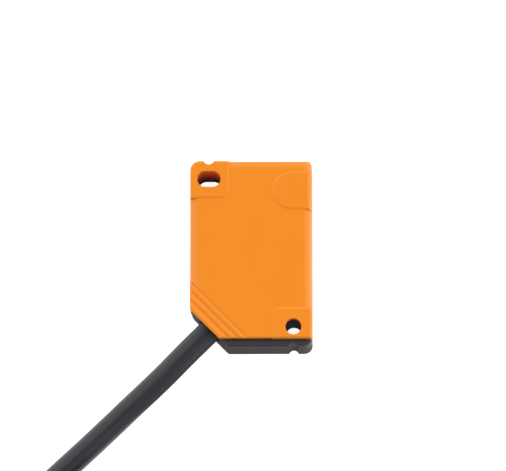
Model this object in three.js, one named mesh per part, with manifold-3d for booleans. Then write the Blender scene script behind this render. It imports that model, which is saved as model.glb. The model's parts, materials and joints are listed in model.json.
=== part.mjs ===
// Photoelectric proximity sensor in a flat 40 x 26 x 12 mm plastic housing, with its cable.
// Millimetres. The sensor lies on its back: +Z is the normal of the coloured front cover, +Y points to
// the end with the slotted screw hole, +X is the narrow side that the light leaves through.
// The origin is under the middle of the housing, on the surface that it lies on.
import * as THREE from 'three';
import { mergeVertices } from 'three/addons/utils/BufferGeometryUtils.js';
import Module from 'manifold-3d';

// ---------------------------------------------------------------- driving dimensions
const WIDTH = 26;                 // along X
const LENGTH = 40;                // along Y
const HEIGHT = 12;                // along Z, over the raised pads
const CHAMFER = 8;                // the corner that the cable leaves through, 45 degrees
const COVER_CHAMFER = 7.7;        // the cover reaches slightly past the base there
const PAD_RISE = 0.15;            // pads stand this far above the main face
const FACE_Z = HEIGHT - PAD_RISE;
const SHELL_WALL = 1.2;
const FRONT_WALL = 1.4;
const COVER_Z = FACE_Z - FRONT_WALL;   // underside of the cover
const SIDE_FILLET = 2;            // on the two long edges of the cover
const END_FILLET = 1.6;           // on its top edge
const LEDGE = 1.5;                // black ledge left free at the bottom end
const PLATE = 1.7;                // thickness of the black back plate
const SEAM = 0.15;                // gap between housing parts
const SEAL_THICK = 0.35;
const SHELL_FOOT = PLATE + SEAL_THICK + 2 * 0.05;

const SLOT = { x: -9, y: 16, length: 5.0, width: 3.4 };
const HOLE = { x: 9, y: -16, diameter: 3.4 };
const RIGHT = WIDTH / 2;
const TOP = LENGTH / 2;
const CORNER_TOP = -TOP + CHAMFER + 0.2;   // upper end of the base's wall along the cut corner

const CABLE = { diameter: 5.2, exit: [-9, -16, 6] };
const ACROSS = Math.SQRT1_2;      // both parts of a unit vector at 45 degrees

const BOARD_Z = 3.3;              // underside of the main board
const BOARD_THICK = 0.8;
const BOARD_TOP = BOARD_Z + BOARD_THICK + 0.05;

const OPTIC_Y = [11.4, 15.6];     // emitter below, receiver above
const OPTIC_Z = 6;
const WINDOW = { y: [9.5, 17.5], z: [2.8, 9.2], rim: 0.5, gap: 0.1 };   // opening and the ledge in it
const DIAL = { y: 5, z: 6.8, bore: 1.75, boss: 2.45, bossEnd: -10.4 };  // adjuster, other narrow side
const LAMP = { y: -1.5, z: 6.2, halfWide: 1, halfHigh: 0.9, gap: 0.15 };   // indicator beside it

// Grooves beside the cut corner; the value of a line is its X + Y from the lower left corner.
const GROOVE = { lines: [9.85, 11.85, 13.8], depth: 0.14, steep: 0.3, ramp: 0.55 };
const BOARD_POSTS = [[-9.2, 11], [9.2, 7], [1.6, -12]];

// ---------------------------------------------------------------- materials
function material(color, roughness, metalness = 0) {
  return new THREE.MeshStandardMaterial({ color, roughness, metalness });
}
const orangePlastic = material(0xf88f24, 0.42);
const blackPlastic = material(0x2b292b, 0.55);
const rubber = material(0x1c1c1e, 0.8);
const smokedWindow = material(0x4a1416, 0.1);
const clearPlastic = material(0xf3f3ee, 0.08);
const boardGreen = material(0x1f6b3a, 0.5);
const chipBlack = material(0x18181a, 0.5);
const ceramic = material(0xb79a6b, 0.6);
const tantalum = material(0xc98f22, 0.5);
const tin = material(0xc9ccd0, 0.3, 0.9);
const brass = material(0xc9a44b, 0.3, 0.9);
const cableJacket = material(0x232326, 0.6);
const tieBlack = material(0x141416, 0.6);
const coreColours = {
  brown: material(0x5a3218, 0.5),
  blue: material(0x2456a8, 0.5),
  black: material(0x17171a, 0.5),
};

// ---------------------------------------------------------------- geometry helpers
const wasm = await Module();
wasm.setup();

/** A closed three.js geometry as a solid that can be joined and cut. */
function solid(geometry) {
  const bare = geometry.clone();
  bare.deleteAttribute('normal');
  bare.deleteAttribute('uv');
  const merged = mergeVertices(bare, 1e-5);
  return new wasm.Manifold(new wasm.Mesh({
    numProp: 3,
    vertProperties: new Float32Array(merged.attributes.position.array),
    triVerts: new Uint32Array(merged.index.array),
  }));
}

/** The joined and cut solid as a three.js geometry. */
function geometryOf(body) {
  const mesh = body.getMesh();
  const geometry = new THREE.BufferGeometry();
  geometry.setAttribute('position', new THREE.BufferAttribute(new Float32Array(mesh.vertProperties), 3));
  geometry.setIndex(Array.from(mesh.triVerts));
  geometry.computeVertexNormals();
  return geometry;
}

const joined = (first, ...others) => others.reduce((sum, next) => sum.add(next), first);
const cut = (body, ...tools) => tools.reduce((left, tool) => left.subtract(tool), body);

/** Points of a closed outline from corners [x, y, radius]; a radius turns the corner into an arc. */
function outline(corners, arcSteps = 6) {
  const points = [];
  corners.forEach(([x, y, radius = 0], i) => {
    const corner = new THREE.Vector2(x, y);
    if (!radius) {
      points.push(corner);
      return;
    }
    const [px, py] = corners[(i + corners.length - 1) % corners.length];
    const [nx, ny] = corners[(i + 1) % corners.length];
    const back = new THREE.Vector2(px - x, py - y).normalize();
    const ahead = new THREE.Vector2(nx - x, ny - y).normalize();
    const half = Math.acos(back.dot(ahead)) / 2;
    const start = back.clone().multiplyScalar(radius / Math.tan(half)).add(corner);
    const centre = back.clone().add(ahead).normalize().multiplyScalar(radius / Math.sin(half)).add(corner);
    const turn = (Math.PI - 2 * half) * Math.sign(ahead.x * back.y - ahead.y * back.x);
    for (let step = 0; step <= arcSteps; step += 1) {
      points.push(start.clone().rotateAround(centre, turn * step / arcSteps));
    }
  });
  return points;
}

function circle(x, y, radius, sides = 24) {
  return Array.from({ length: sides }, (_, i) => {
    const angle = 2 * Math.PI * (i + 0.5) / sides;
    return new THREE.Vector2(x + radius * Math.cos(angle), y + radius * Math.sin(angle));
  });
}

function rectangle(x0, x1, y0, y1, radius = 0) {
  return outline([[x0, y0, radius], [x1, y0, radius], [x1, y1, radius], [x0, y1, radius]], 4);
}

// Which model axis each axis of a drawn outline turns into: [outline x, outline y, extrusion].
const UNIT = { x: new THREE.Vector3(1, 0, 0), y: new THREE.Vector3(0, 1, 0), z: new THREE.Vector3(0, 0, 1) };
const PLANES = { z: ['x', 'y', 'z'], x: ['y', 'z', 'x'], y: ['z', 'x', 'y'] };

/** An outline pulled between two levels of an axis. Along X it is drawn in Y, Z; along Y in Z, X. */
function prism(points, from, to, axis = 'z') {
  const depth = to - from;
  const geometry = new THREE.ExtrudeGeometry(new THREE.Shape(points), { depth, bevelEnabled: false });
  geometry.translate(0, 0, from);
  geometry.applyMatrix4(new THREE.Matrix4().makeBasis(...PLANES[axis].map((name) => UNIT[name])));
  return solid(geometry);
}

function block(x0, x1, y0, y1, z0, z1) {
  const geometry = new THREE.BoxGeometry(x1 - x0, y1 - y0, z1 - z0);
  geometry.translate((x0 + x1) / 2, (y0 + y1) / 2, (z0 + z1) / 2);
  return solid(geometry);
}

/** A turned piece: profile of [radius, height] pairs, its axis laid along +X from the point given. */
function turnedAlongX(profile, x, y, z, sides = 24) {
  const geometry = new THREE.LatheGeometry(profile.map(([r, h]) => new THREE.Vector2(r, h)), sides);
  geometry.rotateZ(-Math.PI / 2);
  geometry.translate(x, y, z);
  return solid(geometry);
}

/** A piece on the cable's axis at its exit: positive distances lead out of the housing. */
function turnedOnCableAxis(profile, sides = 24) {
  const geometry = new THREE.LatheGeometry(profile.map(([r, h]) => new THREE.Vector2(r, h)), sides);
  const outward = new THREE.Vector3(-ACROSS, -ACROSS, 0);
  geometry.applyQuaternion(new THREE.Quaternion().setFromUnitVectors(UNIT.y, outward));
  geometry.translate(...CABLE.exit);
  return solid(geometry);
}

/** A rod of round section along a smooth curve through the points. */
function rod(points, diameter, sides, steps) {
  const places = points.map((point) => new THREE.Vector3(...point));
  const curve = new THREE.CatmullRomCurve3(places, false, 'centripetal');
  const section = new THREE.Shape(circle(0, 0, diameter / 2, sides));
  return new THREE.ExtrudeGeometry(section, { steps, extrudePath: curve, bevelEnabled: false });
}

const sensor = new THREE.Group();
function add(name, shape, look) {
  const geometry = shape.isBufferGeometry ? shape : geometryOf(shape);
  const mesh = new THREE.Mesh(geometry, look);
  mesh.name = name;
  sensor.add(mesh);
}

// ---------------------------------------------------------------- housing outlines
const slotOutline = (grow = 0) => rectangle(
  SLOT.x - SLOT.length / 2 - grow, SLOT.x + SLOT.length / 2 + grow,
  SLOT.y - SLOT.width / 2 - grow, SLOT.y + SLOT.width / 2 + grow, SLOT.width / 2 + grow - 0.001);
const holeOutline = (grow = 0) => circle(HOLE.x, HOLE.y, HOLE.diameter / 2 + grow);

/** The window's opening in the narrow side, and the lamp's, shrunk by an inset. */
const windowOutline = (inset) => rectangle(
  WINDOW.y[0] + inset, WINDOW.y[1] - inset, WINDOW.z[0] + inset, WINDOW.z[1] - inset, 0.9 - 0.4 * inset);
const lampOutline = (inset) => rectangle(
  LAMP.y - LAMP.halfWide + inset, LAMP.y + LAMP.halfWide - inset,
  LAMP.z - LAMP.halfHigh + inset, LAMP.z + LAMP.halfHigh - inset, 0.4);

/** The whole footprint, shrunk by an inset, with the cut corner at the lower left. */
function footprint(inset = 0) {
  const slant = CHAMFER - inset * (2 - Math.SQRT2);
  const [left, right, bottom] = [-RIGHT + inset, RIGHT - inset, -TOP + inset];
  const round = (radius) => Math.max(radius - inset, 0.3);
  return outline([
    [left + slant, bottom, round(0.8)], [right, bottom, round(1.7)], [right, TOP - inset, round(1)],
    [left, TOP - inset, round(2)], [left, bottom + slant, round(3)],
  ]);
}

const padOfSlot = outline([[-RIGHT, 12], [-4.9, 12, 1.5], [-4.9, TOP], [-RIGHT, TOP, 2]]);
const padOfHole = outline([[4.8, -TOP + LEDGE], [RIGHT, -TOP + LEDGE, 0.4], [RIGHT, -12.1], [4.8, -12.1, 1]]);
const padOfBeam = outline([[4.7, 9.55, 3.9], [RIGHT, 9.55], [RIGHT, 17.4], [4.7, 17.4, 3.9]]);

// Half-round nicks that mark the screw axes on the two ends.
const topNick = prism(circle(SLOT.x, TOP + 0.25, 1.1), -1, HEIGHT + 1);
const bottomNick = prism(circle(HOLE.x, -TOP - 0.34, 1.1), -1, HEIGHT + 1);

// ---------------------------------------------------------------- front housing
/** Square bar with one long edge hollowed out, which leaves a fillet where it cuts. */
function filletCutter(radius, along, from, to, edge, inward) {
  const reach = radius + 1;
  const bar = [];
  for (let step = 0; step <= 6; step += 1) {
    const angle = Math.PI / 2 * step / 6;
    bar.push([radius * (1 - Math.sin(angle)), radius * (1 - Math.cos(angle))]);
  }
  const corners = [[-1, -1], [-1, reach], [0, reach], ...bar.reverse(), [reach, 0], [reach, -1]];
  const drawn = corners.map(([side, down]) => {
    const across = edge + inward * side;
    const level = FACE_Z - down;
    return along === 'y' ? new THREE.Vector2(level, across) : new THREE.Vector2(across, level);
  });
  const forward = THREE.ShapeUtils.area(drawn) > 0 ? drawn : drawn.reverse();
  return prism(forward, from, to, along);
}

function frontHousing() {
  const main = prism(outline([
    [-RIGHT + COVER_CHAMFER - LEDGE, -TOP + LEDGE, 0.5], [RIGHT, -TOP + LEDGE, 0.4], [RIGHT, TOP, 1],
    [-RIGHT, TOP, 2], [-RIGHT, -TOP + COVER_CHAMFER, 0.5],
  ]), SHELL_FOOT, FACE_Z);
  const rounded = cut(main,
    filletCutter(SIDE_FILLET, 'y', -TOP + GROOVE.lines[2], TOP, -RIGHT, 1),
    filletCutter(SIDE_FILLET, 'y', -TOP, TOP, RIGHT, -1),
    filletCutter(END_FILLET, 'x', -RIGHT, RIGHT, TOP, -1));
  const raised = joined(rounded,
    prism(padOfSlot, SHELL_FOOT, HEIGHT),
    prism(padOfHole, COVER_Z, HEIGHT),
    prism(padOfBeam, COVER_Z, HEIGHT));

  // Inside: open towards the back, with a full-depth boss round the slot.
  const inside = prism(footprint(SHELL_WALL), SHELL_FOOT - 1, COVER_Z);
  const slotBoss = prism(rectangle(-RIGHT, -5.3, 13.1, TOP, 0.5), SHELL_FOOT - 2, COVER_Z + 0.2);
  const dialBoss = prism(circle(DIAL.y, DIAL.z, DIAL.boss), -RIGHT, DIAL.bossEnd, 'x');
  const hollow = cut(inside, slotBoss, dialBoss);
  // The black base closes the bottom end and the cut corner, so the side walls stop short of them.
  const bottomEnd = block(-RIGHT - 1, 11.7, -TOP - 1, -TOP + 2.55, -1, COVER_Z);
  const outerEnd = block(-RIGHT - 1, RIGHT + 1, -TOP - 1, -TOP + LEDGE, -1, HEIGHT + 1);
  const corner = cut(prism(outline([
    [-RIGHT - 2, -TOP - 2], [-RIGHT + CHAMFER + 5.2, -TOP - 2], [-RIGHT - 2, -TOP + CHAMFER + 5.2],
  ]), -1, COVER_Z), block(-RIGHT - 3, RIGHT, CORNER_TOP + SEAM, TOP, -2, HEIGHT));

  // Each groove is steep on the far side and sloping on the near side.
  const grooves = GROOVE.lines.map((offset) => {
    const tooth = new THREE.ExtrudeGeometry(new THREE.Shape([
      new THREE.Vector2(0, -GROOVE.depth), new THREE.Vector2(GROOVE.steep, 0),
      new THREE.Vector2(GROOVE.steep, 1), new THREE.Vector2(-GROOVE.ramp, 1),
      new THREE.Vector2(-GROOVE.ramp, 0),
    ]), { depth: 2 * WIDTH, bevelEnabled: false });
    tooth.translate(0, 0, -WIDTH);
    const [far, up] = [new THREE.Vector3(ACROSS, ACROSS, 0), UNIT.z];
    tooth.applyMatrix4(new THREE.Matrix4().makeBasis(far, up, far.clone().cross(up)));
    tooth.translate(-RIGHT + offset / 2, -TOP + offset / 2, FACE_Z);
    return solid(tooth);
  });

  return cut(raised, hollow, bottomEnd, outerEnd, corner, ...grooves, topNick,
    prism(slotOutline(), -1, HEIGHT + 1),
    prism(holeOutline(), -1, HEIGHT + 1),
    prism(windowOutline(0), RIGHT - 1, RIGHT + 1, 'x'),
    prism(windowOutline(WINDOW.rim), RIGHT - 2, RIGHT, 'x'),
    prism(circle(DIAL.y, DIAL.z, DIAL.bore), -RIGHT - 1, -RIGHT + 3, 'x'),
    prism(lampOutline(0), -RIGHT - 1, -RIGHT + 2, 'x'));
}
add('front_housing', frontHousing(), orangePlastic);

// ---------------------------------------------------------------- rear base
function rearBase() {
  const baseTop = COVER_Z - SEAM;
  const full = prism(footprint(), 0, baseTop);
  // Above the plate only the bottom end and the cut corner stay full height.
  const wallInside = prism(footprint(2.4), PLATE, baseTop + 1);
  const upperPart = block(-RIGHT - 1, RIGHT + 1, -TOP + CHAMFER + 1.6, TOP + 1, PLATE, baseTop + 1);
  const leftShell = block(-RIGHT - 1, 0, CORNER_TOP, TOP, PLATE, baseTop + 1);
  const rightNotch = block(11.7 - SEAM, RIGHT + 1, -TOP + LEDGE - SEAM, -TOP + 3, PLATE, baseTop + 1);
  const rightShell = block(11.7 - SEAM, RIGHT + 1, -TOP + LEDGE, TOP, PLATE, baseTop + 1);
  const rightSide = block(3, RIGHT + 1, -TOP + 2.4, TOP, PLATE, baseTop + 1);
  const holeBoss = prism(circle(HOLE.x, HOLE.y, 3), PLATE - 0.2, baseTop);
  const holeWeb = block(HOLE.x - 0.6, HOLE.x + 0.6, -TOP + 2.3, HOLE.y - 2, PLATE - 0.2, baseTop);
  const [ribLow, ribHigh] = [PLATE - 0.2, 3.1];
  const ribs = [
    block(-11.65, -10.95, -6, 10, ribLow, ribHigh),
    block(10.95, 11.65, -9, 8, ribLow, ribHigh),
    block(-3.6, 5.6, 17.55, 18.25, ribLow, ribHigh),
  ];
  // Posts carry the main board; their thin ends go through it.
  const posts = BOARD_POSTS.flatMap(([x, y]) => [
    prism(circle(x, y, 1, 12), PLATE - 0.2, BOARD_Z - 0.05),
    prism(circle(x, y, 0.5, 12), PLATE, BOARD_TOP + 0.5),
  ]);
  const bore = turnedOnCableAxis([[0, -4], [3.25, -4], [3.25, 2], [0, 2]]);
  const walls = cut(full, wallInside, upperPart, leftShell, rightSide);
  const boss = cut(joined(holeBoss, holeWeb), rightShell);
  return cut(joined(walls, boss, ...ribs, ...posts), rightNotch, bore, topNick, bottomNick,
    prism(slotOutline(), -1, HEIGHT), prism(holeOutline(), -1, HEIGHT + 1));
}
add('rear_base', rearBase(), blackPlastic);

// A U-shaped seal lies between the plate and the foot of the orange walls.
const sealLow = PLATE + 0.05;
const sealStop = block(-20, 20, -25, -TOP + CHAMFER + 2, 0, HEIGHT);
add('housing_seal', cut(prism(footprint(0.3), sealLow, sealLow + SEAL_THICK),
  prism(footprint(0.95), 0, HEIGHT), sealStop, topNick), rubber);

// ---------------------------------------------------------------- optics
add('optics_window', prism(windowOutline(WINDOW.gap), RIGHT - 0.95, RIGHT - 0.25, 'x'), smokedWindow);

const carrierBores = OPTIC_Y.flatMap((y) => [
  prism(circle(y, OPTIC_Z, 1.85), 10.1, 13, 'x'),
  prism(circle(y, OPTIC_Z, 1.35), 6, 11, 'x'),
]);
add('lens_carrier', cut(block(6.6, 11.7, 9.3, 17.7, 2.3, 9.8), ...carrierBores), chipBlack);

const lensProfile = [[0, 0], [1.75, 0], [1.75, 0.5]];
for (let step = 1; step <= 5; step += 1) {
  const angle = Math.PI / 2 * step / 5;
  lensProfile.push([1.75 * Math.cos(angle), 0.5 + 0.75 * Math.sin(angle)]);
}
lensProfile[lensProfile.length - 1][0] = 0;
['emitter_lens', 'receiver_lens'].forEach((name, i) => {
  add(name, turnedAlongX(lensProfile, 10.2, OPTIC_Y[i], OPTIC_Z, 20), clearPlastic);
});

const opticsBoardX = [5.2, 6.0];
add('optics_board', block(...opticsBoardX, 9.3, 17.6, 4.5, 9.7), boardGreen);

const domeProfile = [[0, 0], [1.3, 0], [1.3, 0.4], [1.0, 0.4], [1.0, 1.2], [0.7, 1.7], [0, 1.9]];
add('emitter_led', turnedAlongX(domeProfile, 6.05, OPTIC_Y[0], OPTIC_Z, 16), clearPlastic);
add('receiver_photodiode', joined(
  block(6.05, 6.5, OPTIC_Y[1] - 1.3, OPTIC_Y[1] + 1.3, OPTIC_Z - 1.3, OPTIC_Z + 1.3),
  block(6.4, 7.2, OPTIC_Y[1] - 0.8, OPTIC_Y[1] + 0.8, OPTIC_Z - 0.8, OPTIC_Z + 0.8)), chipBlack);
const shieldCan = cut(block(3.2, 5.15, 12.9, 17.5, 4.7, 9.5), block(3.5, 6, 13.2, 17.2, 5.0, 9.2));
add('preamp_shield_can', shieldCan, tin);

for (let pin = 0; pin < 3; pin += 1) {
  const y = 9.9 + pin;
  add(`board_link_pin_${pin + 1}`, joined(
    block(4.3, 4.7, y, y + 0.4, BOARD_TOP, 5.5), block(4.3, 5.15, y, y + 0.4, 5.1, 5.5)), brass);
}

// ---------------------------------------------------------------- main board and its parts
const boardOutline = outline([
  [-0.4, -13.1], [5.2, -13.1], [5.2, -12.2], [10.7, -12.2], [10.7, 8.6], [6.2, 8.6], [6.2, 12.4],
  [-10.7, 12.4], [-10.7, -2.8],
]);
add('main_circuit_board', cut(prism(boardOutline, BOARD_Z, BOARD_Z + BOARD_THICK),
  ...BOARD_POSTS.map(([x, y]) => prism(circle(x, y, 0.65, 12), 0, HEIGHT))), boardGreen);

/** A chip: flat body with a row of bent legs on its two long sides. */
function chip(x, y, length, width, height, legs, legWidth = 0.35) {
  const standoff = 0.15;
  const pitch = length / legs;
  const rows = Array.from({ length: legs }, (_, i) => {
    const at = x - length / 2 + pitch * (i + 0.5);
    return [-1, 1].map((side) => {
      const [near, far] = [y + side * (width / 2 - 0.1), y + side * (width / 2 + 0.7)];
      const foot = y + side * (width / 2 + 0.4);
      const shelf = block(at - legWidth / 2, at + legWidth / 2, Math.min(near, far), Math.max(near, far),
        BOARD_TOP + height / 2, BOARD_TOP + height / 2 + 0.15);
      const leg = block(at - legWidth / 2, at + legWidth / 2, Math.min(foot, far), Math.max(foot, far),
        BOARD_TOP, BOARD_TOP + height / 2 + 0.1);
      return joined(shelf, leg);
    });
  }).flat();
  return joined(block(x - length / 2, x + length / 2, y - width / 2, y + width / 2,
    BOARD_TOP + standoff, BOARD_TOP + height), ...rows);
}

/** A two-ended part: body with slightly larger end caps. */
function endCapped(x, y, length, width, height) {
  const cap = length * 0.2;
  return joined(
    block(x - length / 2 + 0.05, x + length / 2 - 0.05, y - width / 2 + 0.05, y + width / 2 - 0.05,
      BOARD_TOP + 0.04, BOARD_TOP + height - 0.04),
    block(x - length / 2, x - length / 2 + cap, y - width / 2, y + width / 2, BOARD_TOP, BOARD_TOP + height),
    block(x + length / 2 - cap, x + length / 2, y - width / 2, y + width / 2, BOARD_TOP, BOARD_TOP + height));
}

add('signal_chip', chip(-0.6, 4.2, 5, 4.4, 1.2, 4), chipBlack);
add('output_transistor', chip(2.2, -5.6, 3, 1.6, 1.1, 2, 0.45), chipBlack);
add('voltage_regulator', chip(7.2, 0.4, 4.4, 2.5, 1.5, 3, 0.5), chipBlack);
add('filter_capacitor', endCapped(7.4, -4.6, 4.2, 3.2, 2), tantalum);
[[7.6, -8.2], [7.6, -10.5]].forEach(([x, y], i) => {
  add(`protection_diode_${i + 1}`, endCapped(x, y, 3, 1.6, 1.1), chipBlack);
});
[[-6.3, -1.6], [3.2, -1.4], [6.4, 5.2]].forEach(([x, y], i) => {
  add(`ceramic_capacitor_${i + 1}`, endCapped(x, y, 1.8, 1.0, 0.9), ceramic);
});
[[-2.6, -1.6], [0.3, -1.4], [-3.0, 9.8], [0.2, 9.8]].forEach(([x, y], i) => {
  add(`chip_resistor_${i + 1}`, endCapped(x, y, 1.7, 0.9, 0.5), chipBlack);
});
add('indicator_led', joined(
  block(-9.6, -8.0, LAMP.y - 0.7, LAMP.y + 0.7, BOARD_TOP, BOARD_TOP + 0.35),
  block(-9.3, -8.3, LAMP.y - 0.5, LAMP.y + 0.5, BOARD_TOP, BOARD_TOP + 0.8)), clearPlastic);
// The light pipe catches the lamp's light from above and turns it out through the wall.
add('indicator_light_pipe', prism([
  new THREE.Vector2(LAMP.z - 0.75, -12.85), new THREE.Vector2(LAMP.z + 0.75, -12.85),
  new THREE.Vector2(LAMP.z + 0.75, -9.3), new THREE.Vector2(LAMP.z, -8.2),
  new THREE.Vector2(LAMP.z - 0.75, -8.2),
], LAMP.y - 0.85, LAMP.y + 0.85, 'y'), clearPlastic);

// ---------------------------------------------------------------- sensitivity adjuster
add('trimmer_body', block(-9.9, -5.9, DIAL.y - 2.4, DIAL.y + 2.4, BOARD_TOP, 9.1), chipBlack);
// The head lies just under the housing's side and has a screwdriver slot; a neck carries the seal ring.
const dialProfile = [[0, -2.6], [1.55, -2.6], [1.55, -1.5], [0.9, -1.5], [0.9, 0], [0, 0]];
const dialHead = turnedAlongX(dialProfile, -10.1, DIAL.y, DIAL.z);
const driverSlot = block(-13, -12.1, DIAL.y - 2, DIAL.y + 2, DIAL.z - 0.25, DIAL.z + 0.25);
add('adjuster_screw', cut(dialHead, driverSlot), brass);
const sealCircle = circle(1.35, 0, 0.35, 10).map(({ x, y }) => [x, y]);
const sealRing = turnedAlongX([...sealCircle, sealCircle[0]], -11, DIAL.y, DIAL.z);
add('adjuster_seal', sealRing, rubber);

// ---------------------------------------------------------------- cable inlet
// Distances along the cable's axis count outwards from the face of the cut corner.
add('cable_grommet', turnedOnCableAxis([
  [2.85, -3.7], [4.0, -3.7], [4.0, -2.7], [3.1, -2.7], [3.1, -0.1], [2.85, -0.1], [2.85, -3.7],
]), rubber);
add('cable_jacket_end', turnedOnCableAxis([[0, -6.6], [2.6, -6.6], [2.6, -0.3], [0, -0.3]]), cableJacket);
add('cable_clamp', turnedOnCableAxis([
  [2.75, -5.8], [3.35, -5.8], [3.35, -4.4], [2.75, -4.4], [2.75, -5.8],
]), tin);

const CORE = 1.25;                // insulation diameter of one wire inside the cable
const stub = 6.95 * ACROSS;
const innerCores = { brown: [-1.1, -0.6], black: [0, 1.15], blue: [1.1, -0.6] };
Object.entries(innerCores).forEach(([colour, [side, up]], i) => {
  const [exitX, exitY, exitZ] = CABLE.exit;
  const start = [exitX + stub + side * ACROSS, exitY + stub - side * ACROSS, exitZ + up];
  const pad = [-3.4 + 2.6 * i, -7.2 - i, BOARD_TOP + 0.75];
  const bend = [start[0] + 1.1, start[1] + 1.1, start[2]];
  const above = [(bend[0] + pad[0]) / 2, (bend[1] + pad[1]) / 2 + 0.4, (bend[2] + pad[2]) / 2 + 0.1];
  add(`inner_core_${colour}`, rod([start, bend, above, pad], CORE, 8, 10), coreColours[colour]);
});

// ---------------------------------------------------------------- cable outside the housing
// It leaves straight, sinks to the surface and runs off at about 45 degrees.
const LEAD_ROUTE = [
  [-9, -16, 6], [-11.1, -18.1, 6], [-13.22, -20.18, 5.9], [-15.54, -22.46, 5.55], [-17.96, -24.84, 5],
  [-20.59, -27.31, 4.35], [-23.31, -29.79, 3.7], [-26.03, -32.27, 3.2], [-28.75, -34.85, 2.85],
  [-31.48, -37.42, 2.65], [-34.2, -40, 2.6], [-36.92, -42.53, 2.6], [-39.65, -45.05, 2.6],
  [-41.86, -47.14, 2.6], [-43.88, -49.02, 2.6],
];
add('cable_lead', rod(LEAD_ROUTE, CABLE.diameter, 10, 14), cableJacket);

// The rest of the two metres is wound in four layers of three turns, beside each other.
const COIL = { x: -35.1, y: -87.8, outer: 36.45, inner: 20.65, low: 0.6, high: 21.6, turn: 5.25 };
const ringProfile = [
  [COIL.inner, COIL.low], [COIL.outer, COIL.low], [COIL.outer, COIL.high], [COIL.inner, COIL.high],
  [COIL.inner, COIL.low],
].map(([r, h]) => new THREE.Vector2(r, h));
const ring = new THREE.LatheGeometry(ringProfile, 40);
ring.rotateX(Math.PI / 2);
ring.translate(COIL.x, COIL.y, 0);

/** Point on the coil: angle in degrees from +X, distance from its axis, height. */
function onCoil(angle, radius, z) {
  const turn = angle * Math.PI / 180;
  return [COIL.x + radius * Math.cos(turn), COIL.y + radius * Math.sin(turn), z];
}
// The last turn stops early, and the bare wires lie in the space that it leaves on the top layer.
const FREE_FROM = 30;
const FREE_TO = 96;
const freeInner = COIL.outer - COIL.turn - 0.3;
const freeSpace = [];
for (let angle = FREE_FROM; angle <= FREE_TO; angle += 6) {
  freeSpace.push(new THREE.Vector2(...onCoil(angle, COIL.outer + 2, 0)));
}
for (let angle = FREE_TO; angle >= FREE_FROM; angle -= 6) {
  freeSpace.push(new THREE.Vector2(...onCoil(angle, freeInner, 0)));
}
const topLayer = COIL.high - COIL.turn;
add('cable_coil', cut(solid(ring), prism(freeSpace, topLayer, COIL.high + 1)), cableJacket);

const FREE_CORE = { from: 31, to: 82, tip: 8, spread: 1.5 };
const coreRadius = COIL.outer - COIL.turn / 2;
const coreLevel = topLayer + 0.3 + CORE / 2;
['brown', 'blue', 'black'].forEach((colour, i) => {
  const radiusAt = (angle) => coreRadius + (i - 1) * (FREE_CORE.spread - (FREE_CORE.to - angle) * 0.003);
  const core = [];
  for (let angle = FREE_CORE.from; angle <= FREE_CORE.to; angle += 8.5) {
    core.push(onCoil(angle, radiusAt(angle), coreLevel));
  }
  add(`free_core_${colour}`, rod(core, CORE, 8, 12), coreColours[colour]);
  const tipFrom = FREE_CORE.to + 0.6;
  const tip = [tipFrom, tipFrom + FREE_CORE.tip / 2, tipFrom + FREE_CORE.tip]
    .map((angle) => onCoil(angle, radiusAt(angle), coreLevel));
  add(`core_tip_${colour}`, rod(tip, 0.75, 8, 4), tin);
});

// One tie holds the turns together.
const TIE = { angle: -60, width: 4, thick: 0.4, gap: 0.15 };
const tieInner = [COIL.inner - TIE.gap, COIL.outer + TIE.gap, COIL.low - TIE.gap, COIL.high + TIE.gap];
const tieOuter = tieInner.map((value, i) => value + (i % 2 ? 1 : -1) * TIE.thick);
const tie = geometryOf(cut(
  block(tieOuter[0], tieOuter[1], -TIE.width / 2, TIE.width / 2, tieOuter[2], tieOuter[3]),
  block(tieInner[0], tieInner[1], -TIE.width, TIE.width, tieInner[2], tieInner[3])));
tie.rotateZ(TIE.angle * Math.PI / 180);
tie.translate(COIL.x, COIL.y, 0);
add('coil_tie', tie, tieBlack);

export default sensor;
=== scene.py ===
# %% [markdown]
# # A flat photoelectric sensor and its cable
#
# This notebook dresses a small industrial sensor: an orange moulded front housing on a black rear base, a
# cut corner that a black cable leaves through, and the optics, adjuster and lamp on its narrow sides.
# The sizes come from the CAD frame, which is loaded first and never moved. Everything that shows is then
# built again with rounded edges and finer curves, inside the space that its CAD node holds.

# %% Load the frame
import json
import math

import bmesh
import bpy
from mathutils import Matrix, Vector


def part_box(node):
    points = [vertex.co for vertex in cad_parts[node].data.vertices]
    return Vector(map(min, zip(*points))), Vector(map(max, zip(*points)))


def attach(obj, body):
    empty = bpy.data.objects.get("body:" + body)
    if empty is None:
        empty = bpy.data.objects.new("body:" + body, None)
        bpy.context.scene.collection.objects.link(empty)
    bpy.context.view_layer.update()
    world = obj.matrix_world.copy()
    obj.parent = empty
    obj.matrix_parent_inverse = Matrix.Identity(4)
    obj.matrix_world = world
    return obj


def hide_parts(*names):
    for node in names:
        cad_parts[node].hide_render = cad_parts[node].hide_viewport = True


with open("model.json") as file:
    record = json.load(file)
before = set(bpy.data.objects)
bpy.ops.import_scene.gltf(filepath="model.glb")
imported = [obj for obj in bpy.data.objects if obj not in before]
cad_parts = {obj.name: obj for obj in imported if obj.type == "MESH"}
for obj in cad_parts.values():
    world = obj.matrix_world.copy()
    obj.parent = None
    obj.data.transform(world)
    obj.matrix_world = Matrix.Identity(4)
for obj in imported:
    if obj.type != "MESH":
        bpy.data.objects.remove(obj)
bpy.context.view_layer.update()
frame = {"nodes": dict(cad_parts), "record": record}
MM = 0.001

# %% [markdown]
# ## The driving sizes
#
# Lengths are easiest to read in millimetres, so the shapes are drawn in millimetres and scaled once, when
# a mesh is made. The outer box of each part comes from the frame. The few sizes that a box can't tell,
# such as corner radii, are named here once and used everywhere.

# %% Sizes in millimetres
def box_mm(name):
    low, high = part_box(name)
    return low / MM, high / MM


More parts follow.
